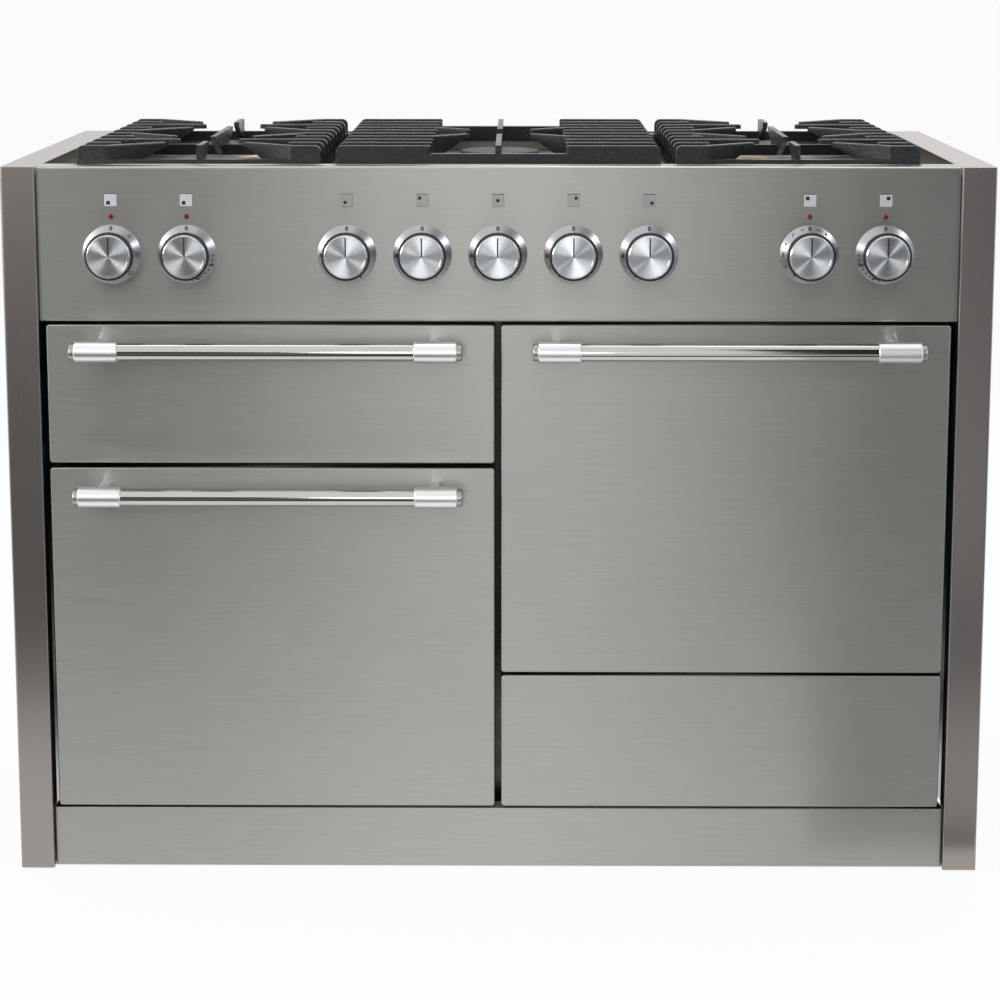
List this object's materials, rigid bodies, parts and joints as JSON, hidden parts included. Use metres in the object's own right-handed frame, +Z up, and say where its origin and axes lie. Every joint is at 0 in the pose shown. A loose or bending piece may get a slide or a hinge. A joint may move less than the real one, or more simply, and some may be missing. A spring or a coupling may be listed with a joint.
{
  "type": "range cooker",
  "caption": "Freestanding stainless range cooker with a gas hob, a grill, fan ovens behind drop-down doors, and a storage drawer over a plinth.",
  "frame": {"origin": "on the floor, under the middle of the overall box with the door handles", "axes": "+Z up, the doors face -Y, +X to the right seen from the front"},
  "size_m": [1.208, 0.668, 0.915],
  "materials": {
    "stainless_steel": "satin with a fine horizontal grain",
    "handle_steel": "polished bar with satin end brackets",
    "black_enamel": "glossy black vitreous enamel",
    "galvanised_steel": "dull zinc coat",
    "chromed_wire": "bright chrome plate",
    "cast_iron": "matt black enamelled casting",
    "burner_alloy": "cast, heat-tinted",
    "knob_aluminium": "face turned to a circular grain",
    "bezel_metal": "satin chromed",
    "spindle_steel": "turned",
    "element_sheath": "dark oxidised sheath",
    "gas_brass": "machined",
    "switch_plastic": "moulded",
    "lamp_red": "clear red lens",
    "seal_rubber": "soft heat-proof seal",
    "foot_black": "black zinc"
  },
  "bodies": {
    "cabinet": {"side_panel_left": "stainless_steel", "side_panel_right": "stainless_steel", "control_panel": "stainless_steel", "hob_tray": "stainless_steel", "flue_vent": "stainless_steel", "plinth_panel": "stainless_steel", "front_frame": "black_enamel", "grill_cavity": "black_enamel", "left_oven_cavity": "black_enamel", "right_oven_cavity": "black_enamel", "grill_pan": "black_enamel", "burner_caps": "black_enamel", "fan_covers": "black_enamel", "back_panel": "galvanised_steel", "base_frame": "galvanised_steel", "drawer_runners": "galvanised_steel", "door_hinges": "galvanised_steel", "fan_motors": "galvanised_steel", "oven_shelves": "chromed_wire", "pan_support_left": "cast_iron", "pan_support_centre": "cast_iron", "pan_support_right": "cast_iron", "burner_bodies": "burner_alloy", "knob_bezels": "bezel_metal", "heating_elements": "element_sheath", "gas_rail": "gas_brass", "control_switches": "switch_plastic", "indicator_lamps": "lamp_red", "door_seals": "seal_rubber"},
    "grill_door": {"grill_door_front": "stainless_steel", "grill_door_liner": "black_enamel", "grill_door_handle": "handle_steel"},
    "left_oven_door": {"left_oven_door_front": "stainless_steel", "left_oven_door_liner": "black_enamel", "left_oven_door_handle": "handle_steel"},
    "right_oven_door": {"right_oven_door_front": "stainless_steel", "right_oven_door_liner": "black_enamel", "right_oven_door_handle": "handle_steel"},
    "drawer": {"drawer_front": "stainless_steel", "drawer_box": "galvanised_steel"},
    "foot_front_left": {"foot_front_left": "foot_black"},
    "foot_front_right": {"foot_front_right": "foot_black"},
    "foot_rear_left": {"foot_rear_left": "foot_black"},
    "foot_rear_right": {"foot_rear_right": "foot_black"},
    "left_oven_fan": {"left_oven_fan": "spindle_steel"},
    "right_oven_fan": {"right_oven_fan": "spindle_steel"},
    "gas_spindle_1": {"gas_spindle_1": "spindle_steel"},
    "gas_knob_1": {"gas_knob_1": "knob_aluminium"},
    "gas_spindle_2": {"gas_spindle_2": "spindle_steel"},
    "gas_knob_2": {"gas_knob_2": "knob_aluminium"},
    "gas_spindle_3": {"gas_spindle_3": "spindle_steel"},
    "gas_knob_3": {"gas_knob_3": "knob_aluminium"},
    "gas_spindle_4": {"gas_spindle_4": "spindle_steel"},
    "gas_knob_4": {"gas_knob_4": "knob_aluminium"},
    "gas_spindle_5": {"gas_spindle_5": "spindle_steel"},
    "gas_knob_5": {"gas_knob_5": "knob_aluminium"},
    "left_oven_function_knob": {"left_oven_function_knob": "knob_aluminium"},
    "left_oven_heat_knob": {"left_oven_heat_knob": "knob_aluminium"},
    "grill_heat_knob": {"grill_heat_knob": "knob_aluminium"},
    "right_oven_heat_knob": {"right_oven_heat_knob": "knob_aluminium"}
  },
  "joints": [
    {"name": "grill_door_hinge", "type": "hinge", "parent": "cabinet", "child": "grill_door", "pos_m": [-0.2795, -0.256, 0.562], "axis": [1, 0, 0], "range_deg": [0, 90], "stiffness_Nm_per_rad": 1.2, "springref_deg": -40.11},
    {"name": "left_oven_door_hinge", "type": "hinge", "parent": "cabinet", "child": "left_oven_door", "pos_m": [-0.2795, -0.256, 0.12], "axis": [1, 0, 0], "range_deg": [0, 90], "stiffness_Nm_per_rad": 6, "springref_deg": -14.32},
    {"name": "right_oven_door_hinge", "type": "hinge", "parent": "cabinet", "child": "right_oven_door", "pos_m": [0.2795, -0.256, 0.295], "axis": [1, 0, 0], "range_deg": [0, 90], "stiffness_Nm_per_rad": 6, "springref_deg": -14.32},
    {"name": "drawer_slide", "type": "slide", "parent": "cabinet", "child": "drawer", "axis": [0, -1, 0], "range_m": [0, 0.42]},
    {"name": "foot_front_left_screw", "type": "slide", "parent": "cabinet", "child": "foot_front_left", "axis": [0, 0, -1], "range_m": [0, 0.015]},
    {"name": "foot_front_right_screw", "type": "slide", "parent": "cabinet", "child": "foot_front_right", "axis": [0, 0, -1], "range_m": [0, 0.015]},
    {"name": "foot_rear_left_screw", "type": "slide", "parent": "cabinet", "child": "foot_rear_left", "axis": [0, 0, -1], "range_m": [0, 0.015]},
    {"name": "foot_rear_right_screw", "type": "slide", "parent": "cabinet", "child": "foot_rear_right", "axis": [0, 0, -1], "range_m": [0, 0.015]},
    {"name": "left_oven_fan_spin", "type": "hinge", "parent": "cabinet", "child": "left_oven_fan", "pos_m": [-0.2795, 0.218, 0.3225], "axis": [0, 1, 0], "continuous": true},
    {"name": "right_oven_fan_spin", "type": "hinge", "parent": "cabinet", "child": "right_oven_fan", "pos_m": [0.2795, 0.218, 0.4995], "axis": [0, 1, 0], "continuous": true},
    {"name": "gas_tap_1_turn", "type": "hinge", "parent": "cabinet", "child": "gas_spindle_1", "pos_m": [-0.184, -0.266, 0.786], "axis": [0, -1, 0], "range_deg": [0, 210]},
    {"name": "gas_knob_1_push", "type": "slide", "parent": "gas_spindle_1", "child": "gas_knob_1", "axis": [0, 1, 0], "range_m": [0, 0.004], "stiffness_N_per_m": 900, "springref_m": -0.001},
    {"name": "gas_tap_2_turn", "type": "hinge", "parent": "cabinet", "child": "gas_spindle_2", "pos_m": [-0.092, -0.266, 0.786], "axis": [0, -1, 0], "range_deg": [0, 210]},
    {"name": "gas_knob_2_push", "type": "slide", "parent": "gas_spindle_2", "child": "gas_knob_2", "axis": [0, 1, 0], "range_m": [0, 0.004], "stiffness_N_per_m": 900, "springref_m": -0.001},
    {"name": "gas_tap_3_turn", "type": "hinge", "parent": "cabinet", "child": "gas_spindle_3", "pos_m": [0, -0.266, 0.786], "axis": [0, -1, 0], "range_deg": [0, 210]},
    {"name": "gas_knob_3_push", "type": "slide", "parent": "gas_spindle_3", "child": "gas_knob_3", "axis": [0, 1, 0], "range_m": [0, 0.004], "stiffness_N_per_m": 900, "springref_m": -0.001},
    {"name": "gas_tap_4_turn", "type": "hinge", "parent": "cabinet", "child": "gas_spindle_4", "pos_m": [0.092, -0.266, 0.786], "axis": [0, -1, 0], "range_deg": [0, 210]},
    {"name": "gas_knob_4_push", "type": "slide", "parent": "gas_spindle_4", "child": "gas_knob_4", "axis": [0, 1, 0], "range_m": [0, 0.004], "stiffness_N_per_m": 900, "springref_m": -0.001},
    {"name": "gas_tap_5_turn", "type": "hinge", "parent": "cabinet", "child": "gas_spindle_5", "pos_m": [0.184, -0.266, 0.786], "axis": [0, -1, 0], "range_deg": [0, 210]},
    {"name": "gas_knob_5_push", "type": "slide", "parent": "gas_spindle_5", "child": "gas_knob_5", "axis": [0, 1, 0], "range_m": [0, 0.004], "stiffness_N_per_m": 900, "springref_m": -0.001},
    {"name": "left_oven_function_knob_turn", "type": "hinge", "parent": "cabinet", "child": "left_oven_function_knob", "pos_m": [-0.471, -0.266, 0.786], "axis": [0, -1, 0], "range_deg": [-315, 0]},
    {"name": "left_oven_heat_knob_turn", "type": "hinge", "parent": "cabinet", "child": "left_oven_heat_knob", "pos_m": [-0.379, -0.266, 0.786], "axis": [0, -1, 0], "range_deg": [-270, 0]},
    {"name": "grill_heat_knob_turn", "type": "hinge", "parent": "cabinet", "child": "grill_heat_knob", "pos_m": [0.379, -0.266, 0.786], "axis": [0, -1, 0], "range_deg": [0, 320]},
    {"name": "right_oven_heat_knob_turn", "type": "hinge", "parent": "cabinet", "child": "right_oven_heat_knob", "pos_m": [0.471, -0.266, 0.786], "axis": [0, -1, 0], "range_deg": [-270, 0]}
  ]
}
